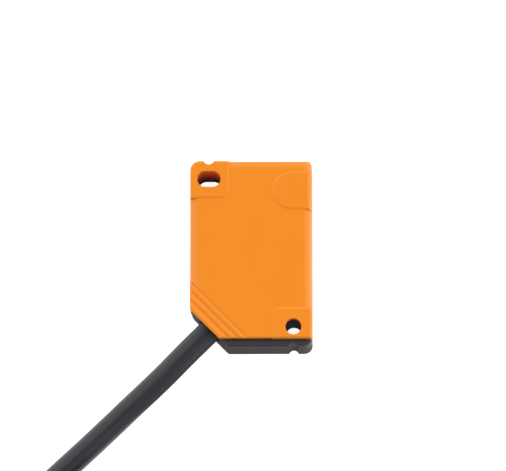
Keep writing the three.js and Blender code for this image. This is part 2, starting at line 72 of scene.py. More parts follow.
shell_low, shell_high = box_mm("front_housing")
base_low, base_high = box_mm("rear_base")
LEFT, RIGHT = base_low.x, base_high.x
BOTTOM, TOP = base_low.y, base_high.y
HEIGHT = shell_high.z
FOOT_Z = shell_low.z                 # underside of the orange walls
COVER_BOTTOM = shell_low.y           # lower edge of the orange cover, above the black ledge
BASE_TOP_Z = base_high.z
PAD_RISE = 0.15
FACE_Z = HEIGHT - PAD_RISE
FRONT_WALL, SHELL_WALL = 1.4, 1.2
COVER_Z = FACE_Z - FRONT_WALL
CHAMFER = 8.0                        # the cut corner, at 45 degrees
COVER_CUT = 7.7                      # the cover reaches slightly past it
SEAM = 0.15                          # gap between the two halves of the case
CORNER_TOP = BOTTOM + CHAMFER + 0.2  # upper end of the base's wall along the cut corner
PLATE = 1.7
SLOT_X, SLOT_Y, SLOT_LONG, SLOT_WIDE = -9.0, 16.0, 5.0, 3.4
HOLE_X, HOLE_Y, HOLE_WIDE = 9.0, -16.0, 3.4
PAD_SLOT_X, PAD_SLOT_Y = -4.9, 12.0  # inner edges of the pad round the slot
print(f"housing {RIGHT - LEFT:.1f} x {TOP - BOTTOM:.1f} x {HEIGHT:.1f} mm")

# %% [markdown]
# ## The camera
#
# A catalogue shot is taken with a long lens from well above. The camera stands a little towards the black
# end, so that the ledge and the end face show as two dark bands under the orange edge, and a hair to the
# right. A long lens keeps the sides of the housing almost parallel.

# %% Camera
CAMERA_TILT = math.radians(10.8)     # from straight above towards the black end
CAMERA_SIDE = math.radians(1.1)      # towards the optics side
CAMERA_AWAY = 1.15                   # metres
VIEW_WIDE = 0.1078                   # metres across the picture at the cover
LOOK_AT = Vector((0.44, 3.65, HEIGHT)) * MM

camera_data = bpy.data.cameras.new("camera")
camera_data.sensor_width = 36.0
camera_data.lens = camera_data.sensor_width * CAMERA_AWAY / VIEW_WIDE
camera_data.clip_start, camera_data.clip_end = 0.05, 20.0
camera = bpy.data.objects.new("camera", camera_data)
bpy.context.scene.collection.objects.link(camera)
bpy.context.scene.camera = camera
towards_camera = Vector((math.sin(CAMERA_SIDE), -math.sin(CAMERA_TILT), 0.0))
towards_camera.z = math.sqrt(1.0 - towards_camera.length_squared)
camera.location = LOOK_AT + towards_camera * CAMERA_AWAY
camera_up = Vector((0.0, 1.0, 0.0))
camera_right = camera_up.cross(towards_camera).normalized()
camera_up = towards_camera.cross(camera_right)
camera.matrix_world = Matrix.Translation(camera.location) @ Matrix(
    (camera_right, camera_up, towards_camera)).transposed().to_4x4()
print(f"lens {camera_data.lens:.0f} mm")

# %% [markdown]
# ## The cable
#
# The cable is two metres of round three-core lead with a rubbery jacket. It leaves the cut corner
# straight, sinks to the table under its own weight and runs off at about 45 degrees. The rest is wound as
# it would be in its box: four layers of three turns. Each layer steps over by one cable diameter in a
# short arc, and climbs to the next layer just before that arc, so no turn runs through another.
# A curve with a round bevel is the natural tool, because its own line is the cable's centre.

# %% Cable route
CABLE_WIDE = 5.2
LEAD_ROUTE = [
    (-9, -16, 6), (-11.1, -18.1, 6), (-13.22, -20.18, 5.9), (-15.54, -22.46, 5.55), (-17.96, -24.84, 5),
    (-20.59, -27.31, 4.35), (-23.31, -29.79, 3.7), (-26.03, -32.27, 3.2), (-28.75, -34.85, 2.85),
    (-31.48, -37.42, 2.65), (-34.2, -40, 2.6), (-36.92, -42.53, 2.6), (-39.65, -45.05, 2.6),
    (-41.86, -47.14, 2.6), (-43.88, -49.02, 2.6), (-48.81, -53.79, 2.7), (-53.6, -58.5, 2.95),
]
ring_low, ring_high = box_mm("cable_coil")
COIL_X, COIL_Y = (ring_low.x + ring_high.x) / 2, (ring_low.y + ring_high.y) / 2
TURN = 5.25                          # from one turn to the next, sideways and upwards
OUTER_TURN = (ring_high.x - ring_low.x) / 2 - CABLE_WIDE / 2 - 0.05
FIRST_LEVEL = ring_low.z + CABLE_WIDE / 2
STEP_ARC = 60.0                      # degrees over which a turn steps aside or climbs
COIL_FROM, COIL_TO = 133.3, 3990.0   # degrees, counted on round the coil
FIRST_STEP = 75.0                    # direction in which the first layer steps aside


def coil_moves():
    """Where the winding steps aside or climbs: (angle at the start, sideways turns, upward turns)."""
    moves, angle, step_at, inwards = [], COIL_FROM + 5.0, FIRST_STEP, -1.0

    def next_pass(direction, after):
        return direction + 360.0 * math.ceil((after - direction) / 360.0)

    for layer in range(4):
        for _ in range(2):
            angle = next_pass(step_at, angle)
            moves.append((angle, inwards, 0.0))
            angle += STEP_ARC
        climb_at = step_at - STEP_ARC
        angle = next_pass(climb_at, angle)
        moves.append((angle, 0.0, 1.0))
        angle += STEP_ARC
        step_at, inwards = climb_at - STEP_ARC, -inwards
    return moves[:-1]


def ease(share):
    share = min(max(share, 0.0), 1.0)
    return share * share * (3.0 - 2.0 * share)


MOVES = coil_moves()


def on_coil(angle, radius, level):
    turn = math.radians(angle)
    return (COIL_X + radius * math.cos(turn), COIL_Y + radius * math.sin(turn), level)


def coil_point(angle):
    radius, level = OUTER_TURN, FIRST_LEVEL
    for start, aside, upwards in MOVES:
        share = ease((angle - start) / STEP_ARC)
        radius += aside * share * TURN
        level += upwards * share * TURN
    return on_coil(angle, radius, level)


def smooth_line(points, pieces=4):
    """A Catmull-Rom curve through the points, with this many short pieces between each two."""
    line = []
    for i in range(len(points) - 1):
        before, here = Vector(points[max(i - 1, 0)]), Vector(points[i])
        there, after = Vector(points[i + 1]), Vector(points[min(i + 2, len(points) - 1)])
        for k in range(pieces):
            t = k / pieces
            line.append(0.5 * (2 * here + (there - before) * t
                               + (2 * before - 5 * here + 4 * there - after) * t ** 2
                               + (3 * here - before - 3 * there + after) * t ** 3))
    return line + [Vector(points[-1])]


coil_steps = 24 * round((COIL_TO - COIL_FROM) / 360.0) + 12
coil_line = [coil_point(COIL_FROM + (COIL_TO - COIL_FROM) * i / coil_steps) for i in range(coil_steps + 1)]
cable_line = smooth_line(LEAD_ROUTE + coil_line[:1])[:-1] + [Vector(p) for p in smooth_line(coil_line, 2)]
cable_length = sum((b - a).length for a, b in zip(cable_line, cable_line[1:]))
print(f"cable {cable_length:.0f} mm in {len(cable_line)} points")

# %% [markdown]
# A curve object carries a round section along a line of points. Each point holds its own radius, so the
# same tool would also draw a cable that tapers.

# %% Cable curve
def round_curve(name, line, diameter, sides=4):
    """A curve object with a round section along the points, in millimetres."""
    data = bpy.data.curves.new(name, "CURVE")
    data.dimensions = "3D"
    data.bevel_depth = 1.0           # times each point's own radius, which the curve's box counts too
    data.bevel_resolution = sides
    data.use_fill_caps = True
    spline = data.splines.new("POLY")
    spline.points.add(len(line) - 1)
    for point, place in zip(spline.points, line):
        point.co = (place[0] * MM, place[1] * MM, place[2] * MM, 1.0)
        point.radius = diameter / 2 * MM
    piece = bpy.data.objects.new(name, data)
    bpy.context.scene.collection.objects.link(piece)
    return piece


cable = round_curve("cable", cable_line, CABLE_WIDE, sides=6)
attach(cable, "sensor")
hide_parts("cable_lead", "cable_coil")

# %% [markdown]
# ## Shared surface effects
#
# Moulded plastic is never perfectly even: the mould leaves a fine grain, and handling leaves slightly
# shinier and duller patches. Edges are rounded, and their colour is made lighter: a painted highlight,
# partly wear from rubbing. Most of the materials here need all of these, so they are two node groups with
# named inputs, made once and placed in each material with its own values. The groups give only heights,
# masks and normals; the shader stays in the material.

# %% Node helpers
def add_node(tree, kind, settings=None, **inputs):
    node = tree.nodes.new(kind)
    for name, value in (settings or {}).items():
        setattr(node, name, value)
    for name, value in inputs.items():
        node.inputs[name.replace("_", " ")].default_value = value
    return node


def linker(tree):
    """A function that links a node's output to another node's input, both by name or number."""
    def link(source, output, target, slot):
        tree.links.new(source.outputs[output], target.inputs[slot])
    return link


def new_look(name):
    """A new material, its node tree and its shader."""
    material = bpy.data.materials.new(name)
    material.use_nodes = True
    return material, material.node_tree, material.node_tree.nodes["Principled BSDF"]


def new_group(name, inputs, outputs):
    """A shader node group with number inputs {name: default} and outputs {name: socket type}."""
    tree = bpy.data.node_groups.new(name, "ShaderNodeTree")
    for label, default in inputs.items():
        socket = tree.interface.new_socket(label, in_out="INPUT", socket_type="NodeSocketFloat")
        socket.default_value = default
    for label, kind in outputs.items():
        tree.interface.new_socket(label, in_out="OUTPUT", socket_type=kind)
    return tree, tree.nodes.new("NodeGroupInput"), tree.nodes.new("NodeGroupOutput")

# %% [markdown]
# The first group mixes fine noise with small round pits for the grain, and gives a second, much wider noise
# for the patches.

# %% Grain group
def build_grain():
    tree, given, result = new_group(
        "moulded_grain", {"Scale": 4000.0, "Stretch": 1.0},
        {"Height": "NodeSocketFloat", "Patches": "NodeSocketFloat"})
    link = linker(tree)
    place = add_node(tree, "ShaderNodeTexCoord")
    fine = add_node(tree, "ShaderNodeTexNoise", Detail=3.0, Roughness=0.6)
    pits = add_node(tree, "ShaderNodeTexVoronoi", {"feature": "SMOOTH_F1"})
    wide = add_node(tree, "ShaderNodeTexNoise", Scale=140.0, Detail=3.0)
    link(place, "Object", fine, "Vector")
    link(place, "Object", pits, "Vector")
    link(place, "Object", wide, "Vector")
    link(given, "Scale", fine, "Scale")
    link(given, "Scale", pits, "Scale")
    mixed = add_node(tree, "ShaderNodeMath", {"operation": "MULTIPLY_ADD"})
    link(pits, "Distance", mixed, 0)
    link(given, "Stretch", mixed, 1)
    link(fine, "Fac", mixed, 2)
    link(mixed, 0, result, "Height")
    link(wide, "Fac", result, "Patches")
    return tree


GRAIN = build_grain()
print("group", GRAIN.name)

# %% [markdown]
# The second group compares the true surface direction with a rounded one. They differ only near an edge, so
# the difference is a mask of the edges, which a noise then breaks up. The materials use it to paint a
# lighter highlight along the edges, partly wear from rubbing.

# %% Edge group
def build_edge_highlight_and_wear():
    tree, given, result = new_group(
        "painted_edge_highlight_and_wear", {"Radius": 0.00012, "Strength": 0.5},
        {"Mask": "NodeSocketFloat", "Normal": "NodeSocketVector"})
    link = linker(tree)
    rounded = add_node(tree, "ShaderNodeBevel", {"samples": 4})
    link(given, "Radius", rounded, "Radius")
    surface = add_node(tree, "ShaderNodeNewGeometry")
    agree = add_node(tree, "ShaderNodeVectorMath", {"operation": "DOT_PRODUCT"})
    link(rounded, "Normal", agree, 0)
    link(surface, "Normal", agree, 1)
    turned = add_node(tree, "ShaderNodeMapRange", {"clamp": True}, From_Min=1.0, From_Max=0.86)
    link(agree, "Value", turned, "Value")
    place = add_node(tree, "ShaderNodeTexCoord")
    broken = add_node(tree, "ShaderNodeTexNoise", Scale=900.0, Detail=4.0)
    link(place, "Object", broken, "Vector")
    # the patchy edge mask: where the materials paint a lighter highlight, partly wear from rubbing
    patchy_highlight_and_wear = add_node(tree, "ShaderNodeMath", {"operation": "MULTIPLY"})
    link(turned, "Result", patchy_highlight_and_wear, 0)
    link(broken, "Fac", patchy_highlight_and_wear, 1)
    scaled = add_node(tree, "ShaderNodeMath", {"operation": "MULTIPLY", "use_clamp": True})
    link(patchy_highlight_and_wear, 0, scaled, 0)
    link(given, "Strength", scaled, 1)
    link(scaled, 0, result, "Mask")
    link(rounded, "Normal", result, "Normal")
    return tree


EDGE_HIGHLIGHT_AND_WEAR = build_edge_highlight_and_wear()
print("group", EDGE_HIGHLIGHT_AND_WEAR.name)

# %% [markdown]
# ## The materials
#
# One recipe makes every finish that isn't clear: a base colour that drifts slightly from patch to
# patch, a painted highlight as a lighter tone along the edges, partly wear from rubbing, and a grain that
# only the light sees. What changes from material to material is the colour, the gloss and the size of the
# grain.


# %% Moulded finishes
LOOKS = {}                           # finished materials by the record's slot name


def tone(colour, factor):
    return tuple(min(c * factor, 1.0) for c in colour) + (1.0,)


# the edge tone sets how much lighter the painted highlight along the edges is
def moulded(name, colour, roughness, grain=4000.0, depth=0.00001, edge_highlight_tone=1.3, edge=0.4, drift=0.04,
            radius=0.00012, **shader_values):
    LOOKS[name], tree, shader = new_look("look_" + name)
    link = linker(tree)
    for label, value in shader_values.items():
        shader.inputs[label.replace("_", " ")].default_value = value
    grains = add_node(tree, "ShaderNodeGroup", {"node_tree": GRAIN}, Scale=grain)
    edges = add_node(tree, "ShaderNodeGroup", {"node_tree": EDGE_HIGHLIGHT_AND_WEAR}, Radius=radius, Strength=edge)
    patches = add_node(tree, "ShaderNodeMix", {"data_type": "RGBA"})
    patches.inputs["A"].default_value = tone(colour, 1.0 - drift)
    patches.inputs["B"].default_value = tone(colour, 1.0 + drift)
    link(grains, "Patches", patches, "Factor")
    # a painted highlight along the edges, partly wear from rubbing: a lighter tone of the colour
    edge_highlight_and_wear = add_node(tree, "ShaderNodeMix", {"data_type": "RGBA"})
    edge_highlight_and_wear.inputs["B"].default_value = tone(colour, edge_highlight_tone)
    link(edges, "Mask", edge_highlight_and_wear, "Factor")
    link(patches, "Result", edge_highlight_and_wear, "A")
    link(edge_highlight_and_wear, "Result", shader, "Base Color")
    gloss = add_node(tree, "ShaderNodeMapRange", To_Min=roughness - 0.05, To_Max=roughness + 0.05)
    link(grains, "Patches", gloss, "Value")
    link(gloss, "Result", shader, "Roughness")
    bump = add_node(tree, "ShaderNodeBump", Strength=0.5, Distance=depth)
    link(grains, "Height", bump, "Height")
    link(edges, "Normal", bump, "Normal")
    link(bump, "Normal", shader, "Normal")


moulded("orange_plastic", (0.93, 0.264, 0.001), 0.4, grain=5200.0, depth=0.000012, edge_highlight_tone=1.12,
        edge=0.25, drift=0.015, Specular_IOR_Level=0.42, Sheen_Weight=0.15, Sheen_Roughness=0.35)
moulded("black_plastic", (0.046, 0.034, 0.039), 0.45, grain=4200.0, depth=0.00002, edge_highlight_tone=2.0,
        edge=0.5, drift=0.12)
moulded("cable_jacket", (0.019, 0.019, 0.025), 0.4, grain=2600.0, depth=0.00002, edge=0.0, drift=0.15)
moulded("seal_rubber", (0.02, 0.02, 0.021), 0.75, grain=3000.0, depth=0.00002, drift=0.1)
moulded("carrier_plastic", (0.014, 0.014, 0.015), 0.6, drift=0.1)
moulded("chip_package", (0.02, 0.02, 0.022), 0.55, grain=9000.0, drift=0.1)
moulded("tie_plastic", (0.012, 0.012, 0.013), 0.4, grain=3000.0, drift=0.1)
moulded("ceramic", (0.45, 0.32, 0.16), 0.5, grain=7000.0, drift=0.08)
moulded("tantalum", (0.58, 0.28, 0.03), 0.35, grain=6000.0, drift=0.05)
moulded("circuit_board", (0.015, 0.14, 0.05), 0.35, grain=2500.0, drift=0.2)
CORE_COLOURS = {"brown": (0.12, 0.045, 0.016), "black": (0.014, 0.014, 0.015), "blue": (0.02, 0.1, 0.45)}
for core, rgb in CORE_COLOURS.items():
    moulded("core_" + core, rgb, 0.4, grain=3000.0, edge=0.0, drift=0.06)
moulded("tinned_metal", (0.72, 0.73, 0.75), 0.32, grain=6000.0, drift=0.05, Metallic=1.0)
moulded("brass", (0.75, 0.52, 0.2), 0.3, grain=5000.0, drift=0.05, Metallic=1.0)
print(len(bpy.data.materials), "materials so far")

# %% [markdown]
# The window, the lenses and the light pipe let light through, so they have a recipe of their own.

# %% Clear finishes
def clear(name, colour, roughness, ior=1.49):
    """Polished clear or smoked plastic, with a faint unevenness in its polish."""
    LOOKS[name], tree, shader = new_look("look_" + name)
    shader.inputs["Base Color"].default_value = (*colour, 1.0)
    shader.inputs["Transmission Weight"].default_value = 1.0
    shader.inputs["IOR"].default_value = ior
    grains = add_node(tree, "ShaderNodeGroup", {"node_tree": GRAIN}, Scale=600.0)
    polish = add_node(tree, "ShaderNodeMapRange", To_Min=roughness, To_Max=roughness + 0.06)
    link = linker(tree)
    link(grains, "Patches", polish, "Value")
    link(polish, "Result", shader, "Roughness")


clear("smoked_window", (0.32, 0.012, 0.014), 0.03)
clear("clear_plastic", (0.96, 0.97, 0.95), 0.02)
clear("led_epoxy", (0.9, 0.9, 0.86), 0.1, ior=1.52)

# %% [markdown]
# ## Drawing tools
#
# Almost every part here is an outline pulled along an axis, with its edges rounded. Drawing each ring of
# such a part by formula gives clean quads and exact radii, which a bevel on a cut mesh rarely does. Holes
# and hollows are then cut with booleans, whose cutters are drawn the same way.


# %% Outlines
def outline(corners, steps=8):
    """Points round a closed outline from corners (x, y, radius): a radius becomes an arc."""
    points, count = [], len(corners)
    for i, (x, y, radius) in enumerate(corners):
        corner = Vector((x, y))
        back = (Vector(corners[i - 1][:2]) - corner).normalized()
        ahead = (Vector(corners[(i + 1) % count][:2]) - corner).normalized()
        half = back.angle(ahead) / 2
        centre = corner + (back + ahead).normalized() * radius / math.sin(half)
        spoke = corner + back * radius / math.tan(half) - centre
        turn = (math.pi - 2 * half) * (1 if back.cross(ahead) < 0 else -1)
        for k in range(steps + 1):
            points.append(centre + Matrix.Rotation(turn * k / steps, 2) @ spoke)
    return points


def rectangle(x0, x1, y0, y1, radius=0.05):
    return [(x0, y0, radius), (x1, y0, radius), (x1, y1, radius), (x0, y1, radius)]


def shrunk(corners, insets):
    """The corners with each edge moved inwards by its own inset; edge i runs on from corner i."""
    count, moved = len(corners), []
    if not hasattr(insets, "__len__"):
        insets = [insets] * count
    edges = []
    for i, inset in enumerate(insets):
        start, end = Vector(corners[i][:2]), Vector(corners[(i + 1) % count][:2])
        along = (end - start).normalized()
        edges.append((start + Vector((-along.y, along.x)) * inset, along))
    for i in range(count):
        (p, a), (q, b) = edges[i - 1], edges[i]
        x, y = p + a * ((q - p).cross(b) / a.cross(b))
        radius = max(corners[i][2] - (insets[i - 1] + insets[i]) / 2, 0.05)
        moved.append((x, y, radius))
    return moved


def circle(x, y, radius, sides=48):
    return [Vector((x + radius * math.cos(2 * math.pi * i / sides),
                    y + radius * math.sin(2 * math.pi * i / sides))) for i in range(sides)]


print(len(outline(rectangle(0, 1, 0, 1, 0.2))), "points in a rounded square")

# %% [markdown]
# The solids follow from the outlines: a loft joins rings of points, a prism is a loft with rounded ends, and
# a turned solid is a profile swept round an axis.

# %% Solids
PLANES = {"z": lambda a, b, c: (a, b, c), "x": lambda a, b, c: (c, a, b), "y": lambda a, b, c: (b, c, a)}


def bake(piece, change):
    """Replaces the piece's mesh by what the modifier makes of it, and drops the modifier."""
    result = bpy.data.meshes.new_from_object(
        piece.evaluated_get(bpy.context.evaluated_depsgraph_get()))
    piece.modifiers.remove(change)
    used, piece.data = piece.data, result
    bpy.data.meshes.remove(used)


def new_piece(name, points, faces):
    mesh = bpy.data.meshes.new(name)
    mesh.from_pydata([[c * MM for c in point] for point in points], [], faces)
    piece = bpy.data.objects.new(name, mesh)
    bpy.context.scene.collection.objects.link(piece)
    return piece


def loft(name, rings, axis="z"):
    """A closed solid through rings of outline points, each given as (points, level)."""
    size = len(rings[0][0])
    points = [PLANES[axis](p[0], p[1], level) for ring, level in rings for p in ring]
    faces = [tuple(range(size))[::-1], tuple(range((len(rings) - 1) * size, len(rings) * size))]
    for low in range(0, (len(rings) - 1) * size, size):
        for i in range(size):
            j = (i + 1) % size
            faces.append((low + i, low + j, low + size + j, low + size + i))
    return new_piece(name, points, faces)


def prism(name, corners, low, high, axis="z", round_low=0.0, round_high=0.0, steps=8, arc=4):
    """An outline pulled between two levels, its end edges rounded by these radii."""
    rings = []
    for k in range(arc + 1 if round_low else 1):
        turn = math.pi / 2 * k / arc
        inset = round_low * (1 - math.sin(turn))
        rings.append((outline(shrunk(corners, inset), steps), low + round_low * (1 - math.cos(turn))))
    for k in range(arc + 1 if round_high else 1):
        turn = math.pi / 2 * k / arc
        inset = round_high * (1 - math.cos(turn))
        rings.append((outline(shrunk(corners, inset), steps), high - round_high * (1 - math.sin(turn))))
    return loft(name, rings, axis)


def tube(name, x, y, radius, low, high, axis="z", sides=48):
    return loft(name, [(circle(x, y, radius, sides), low), (circle(x, y, radius, sides), high)], axis)


def hole_cutter(name, ring_at, low, high, flare=0.12, levels=4):
    """A cutter that leaves a rounded rim: ring_at(growth) draws it, and it widens near its top."""
    rings = [(ring_at(0.0), low)]
    for k in range(levels + 1):
        rise = flare * k / levels
        rings.append((ring_at(flare - math.sqrt(flare ** 2 - rise ** 2)), high - flare + rise))
    rings.append((ring_at(flare), high + 1.0))
    return loft(name, rings)


def turned(name, profile, origin, direction, sides=48):
    """A turned solid: profile of (radius, distance) along a direction from its origin, ends on the axis."""
    facing = Vector(direction).to_track_quat("Z", "Y")
    points, faces = [Vector(origin) + facing @ Vector((0, 0, profile[0][1]))], []
    for radius, far in profile[1:-1]:
        for i in range(sides):
            angle = 2 * math.pi * i / sides
            offset = Vector((radius * math.cos(angle), radius * math.sin(angle), far))
            points.append(Vector(origin) + facing @ offset)
    points.append(Vector(origin) + facing @ Vector((0, 0, profile[-1][1])))
    last = len(points) - 1
    for i in range(sides):
        j = (i + 1) % sides
        faces.append((0, 1 + j, 1 + i))
        for ring in range(len(profile) - 3):
            low = 1 + ring * sides
            faces.append((low + i, low + j, low + sides + j, low + sides + i))
        faces.append((last, last - sides + i, last - sides + j))
    return new_piece(name, points, faces)


def combine(piece, others, operation="DIFFERENCE"):
    """Joins or cuts a piece with others, which are used up."""
    for other in others:
        change = piece.modifiers.new("change", "BOOLEAN")
        change.operation, change.solver, change.object = operation, "EXACT", other
        bake(piece, change)
        bpy.data.objects.remove(other)
    return piece


def dress(piece, body, replaced, look, sharp=35.0):
    """Gives a finished piece its smooth shading, material and body, and hides the CAD node it stands for."""
    mesh = piece.data
    mesh.materials.clear()
    mesh.materials.append(LOOKS[look])
    mesh.shade_smooth()
    mesh.set_sharp_from_angle(angle=math.radians(sharp))
    even = piece.modifiers.new("even_shading", "WEIGHTED_NORMAL")
    even.keep_sharp = True
    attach(piece, body)
    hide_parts(replaced)
    print(f"{piece.name}: {len(mesh.polygons)} faces")
    return piece


# %% [markdown]
# ## The orange front housing
#
# The housing is one moulding: a cover with soft edges along its two sides and its far end, flat pads
# round the screw holes that square those edges off, a raised D that marks where the light leaves, and
# three saw-tooth grooves beside the cut corner. The soft edges and the crisp lower edge have different
# radii, so each ring of the cover is drawn with its own inset for each side.

# %% Cover with soft edges
SIDE_FILLET, END_FILLET, CRISP = 2.0, 1.6, 0.4
cover_corners = [
    (LEFT + COVER_CUT - (COVER_BOTTOM - BOTTOM), COVER_BOTTOM, 0.5), (RIGHT, COVER_BOTTOM, 0.4),
    (RIGHT, TOP, 1.0), (LEFT, TOP, 2.0), (LEFT, BOTTOM + COVER_CUT, 0.5),
]
EDGE_RADII = [CRISP, SIDE_FILLET, END_FILLET, SIDE_FILLET, CRISP]   # bottom, right, top, left, cut


def inset_at(radius, below_face):
    """How far a rounded edge has curved inwards at a depth below the face."""
    if below_face >= radius:
        return 0.0
    return radius - math.sqrt(radius ** 2 - (radius - below_face) ** 2)


depths = [SIDE_FILLET * (1 - math.sin(math.radians(a))) for a in range(0, 90, 9)]
depths += [END_FILLET, FRONT_WALL + 0.01, FRONT_WALL, CRISP, 0.12, 0.06, 0.02, 0.0]
depths = sorted(set(depths), reverse=True)
UNDERCUT = 0.35                      # the free edges of the cover lean inwards underneath
GROOVE_LINES = (9.85, 11.85, 13.8)   # x + y of each groove, from the housing's lower left corner


def cover(name, edge_radii):
    rings = [(outline(cover_corners), FOOT_Z)]
    for depth in depths:
        insets = [inset_at(radius, depth) for radius in edge_radii]
        if CRISP < depth <= FRONT_WALL:
            insets[0] = insets[4] = UNDERCUT * (depth - CRISP) / (FRONT_WALL - CRISP)
        rings.append((outline(shrunk(cover_corners, insets)), FACE_Z - depth))
    return loft(name, rings)


def grooved_corner(name):
    """A wedge over the cut corner, as far as the last groove."""
    reach = GROOVE_LINES[-1] + 4
    return prism(name, [(LEFT - 4, BOTTOM - 4, 0.05), (LEFT + reach, BOTTOM - 4, 0.05),
                        (LEFT - 4, BOTTOM + reach, 0.05)], -1, HEIGHT + 1)


housing = combine(cover("front_housing_shell", EDGE_RADII), [grooved_corner("soft_part_ends")])
crisp_corner = combine(cover("crisp_corner", [CRISP] * 5), [grooved_corner("corner_only")], "INTERSECT")
combine(housing, [crisp_corner], "UNION")

# %% [markdown]
# Beside the cut corner the cover is flat right to its edge, and three saw-tooth grooves cross it. They
# would be pressed by the mould. Here the mesh is sliced along the three lines of each groove, and the
# points on the middle line are pushed down, so each groove has one steep side and one long slope.

# %% Grooves
GROOVE_DEPTH, GROOVE_STEEP, GROOVE_RAMP = 0.22, 0.3, 0.55
ACROSS = Vector((1.0, 1.0, 0.0)).normalized()


def distance_across(x, y):
    """How far a place in millimetres lies from the lower left corner, square to the grooves."""
    return ((x - LEFT) + (y - BOTTOM)) / math.sqrt(2.0)


def press_grooves(piece):
    mesh = bmesh.new()
    mesh.from_mesh(piece.data)
    middles = [line / math.sqrt(2.0) for line in GROOVE_LINES]
    for middle in middles:
        for offset in (-GROOVE_RAMP, 0.0, GROOVE_STEEP):
            place = Vector((LEFT, BOTTOM, 0.0)) + ACROSS * (middle + offset)
            bmesh.ops.bisect_plane(mesh, geom=mesh.verts[:] + mesh.edges[:] + mesh.faces[:],
                                   plane_co=place * MM, plane_no=ACROSS, dist=1e-8)
    for vertex in mesh.verts:
        away = distance_across(vertex.co.x / MM, vertex.co.y / MM)
        if min(abs(away - middle) for middle in middles) < 1e-3:
            share = (vertex.co.z / MM - (FACE_Z - FRONT_WALL)) / FRONT_WALL
            vertex.co.z -= GROOVE_DEPTH * ease(share) * MM
    mesh.to_mesh(piece.data)
    mesh.free()


press_grooves(housing)
print("cover:", len(housing.data.polygons), "faces")

# %% [markdown]
# The pads rise only a little above the face. Towards the face they end in a soft shoulder, and at the
# housing's sides they have a small round edge of their own, which squares off the soft edges there.
# A pad is again a stack of rings, with one inset for its inner sides and one for its outer sides.

# %% Pads, hollow and openings
PAD_INSET = 0.01                     # keeps a pad's outer side just inside the wall below it
PAD_EDGE, BEAM_EDGE, SHOULDER, FLARE, FLARE_DEPTH = 0.6, 1.2, 0.45, 0.4, 1.2
pad_left, pad_right, pad_top = LEFT + PAD_INSET, RIGHT - PAD_INSET, TOP - PAD_INSET
pad_foot = COVER_BOTTOM + PAD_INSET


def pad(name, corners, outer_edges, foot, steps=8):
    """A pad with a soft shoulder; outer_edges says for each edge the radius of its round edge, or 0."""
    largest = max(outer_edges)
    heights = [(HEIGHT - largest * (1 - math.sin(math.radians(a))), None) for a in range(0, 66, 12)]
    heights = [(level, inner) for level, inner in heights if level < FACE_Z]
    heights += [(FACE_Z + PAD_RISE * ease(k / 6), SHOULDER * (k / 6 - 0.5)) for k in range(7)]
    spread = [0.0 if radius else -FLARE for radius in outer_edges]
    rings = [(outline(shrunk(corners, spread), steps), foot),
             (outline(shrunk(corners, spread), steps), FACE_Z - FLARE_DEPTH)]
    for level, inner in sorted(heights, key=lambda ring: ring[0]):
        if inner is None:
            inner = -SHOULDER / 2 - (FACE_Z - level) / FLARE_DEPTH * (FLARE - SHOULDER / 2)
        insets = [inset_at(radius, HEIGHT - level) if radius else inner for radius in outer_edges]
        rings.append((outline(shrunk(corners, insets), steps), level))
    return loft(name, rings)


pads = [
    pad("pad_slot", [(pad_left, PAD_SLOT_Y, 0.05), (PAD_SLOT_X, PAD_SLOT_Y, 1.5),
                     (PAD_SLOT_X, pad_top, 0.3), (pad_left, pad_top, 2.0)],
        [0, 0, PAD_EDGE, PAD_EDGE], FOOT_Z),
    pad("pad_hole", [(4.8, pad_foot, 0.05), (pad_right, pad_foot, 0.4), (pad_right, -12.1, 0.05),
                     (4.8, -12.1, 1.0)], [CRISP, PAD_EDGE, 0, 0], COVER_Z + 0.1),
    pad("pad_beam", [(4.7, 9.55, 3.9), (pad_right, 9.55, 0.05), (pad_right, 17.4, 0.05), (4.7, 17.4, 3.9)],
        [0, BEAM_EDGE, 0, 0], COVER_Z + 0.1, steps=16),
]
combine(housing, pads, "UNION")

DIAL_Y, DIAL_Z = 5.0, 6.8
DIAL_BOSS, DIAL_BORE = 2.45, 1.75
lamp_low, lamp_high = box_mm("indicator_light_pipe")
window_low, window_high = box_mm("optics_window")
hollow = prism("hollow", [
    (LEFT + CHAMFER + 0.2, BOTTOM + SHELL_WALL, 0.3), (RIGHT - SHELL_WALL, BOTTOM + SHELL_WALL, 0.3),
    (RIGHT - SHELL_WALL, TOP - SHELL_WALL, 0.3), (LEFT + SHELL_WALL, TOP - SHELL_WALL, 0.8),
    (LEFT + SHELL_WALL, BOTTOM + CHAMFER + 0.2, 1.0)], FOOT_Z - 1, COVER_Z)
combine(hollow, [
    prism("boss_slot", rectangle(LEFT - 1, -5.3, 13.1, TOP + 1, 0.4), FOOT_Z - 2, COVER_Z + 0.2),
    tube("boss_dial", DIAL_Y, DIAL_Z, DIAL_BOSS, LEFT - 1, -10.4, "x")])


def slot_ring(growth):
    return outline(rectangle(SLOT_X - SLOT_LONG / 2 - growth, SLOT_X + SLOT_LONG / 2 + growth,
                             SLOT_Y - SLOT_WIDE / 2 - growth, SLOT_Y + SLOT_WIDE / 2 + growth,
                             SLOT_WIDE / 2 + growth - 0.002), 14)


def hole_ring(growth):
    return circle(HOLE_X, HOLE_Y, HOLE_WIDE / 2 + growth)


NICK = 1.1


def top_nick(name):
    return tube(name, SLOT_X, TOP + 0.25, NICK, -1, HEIGHT + 1)


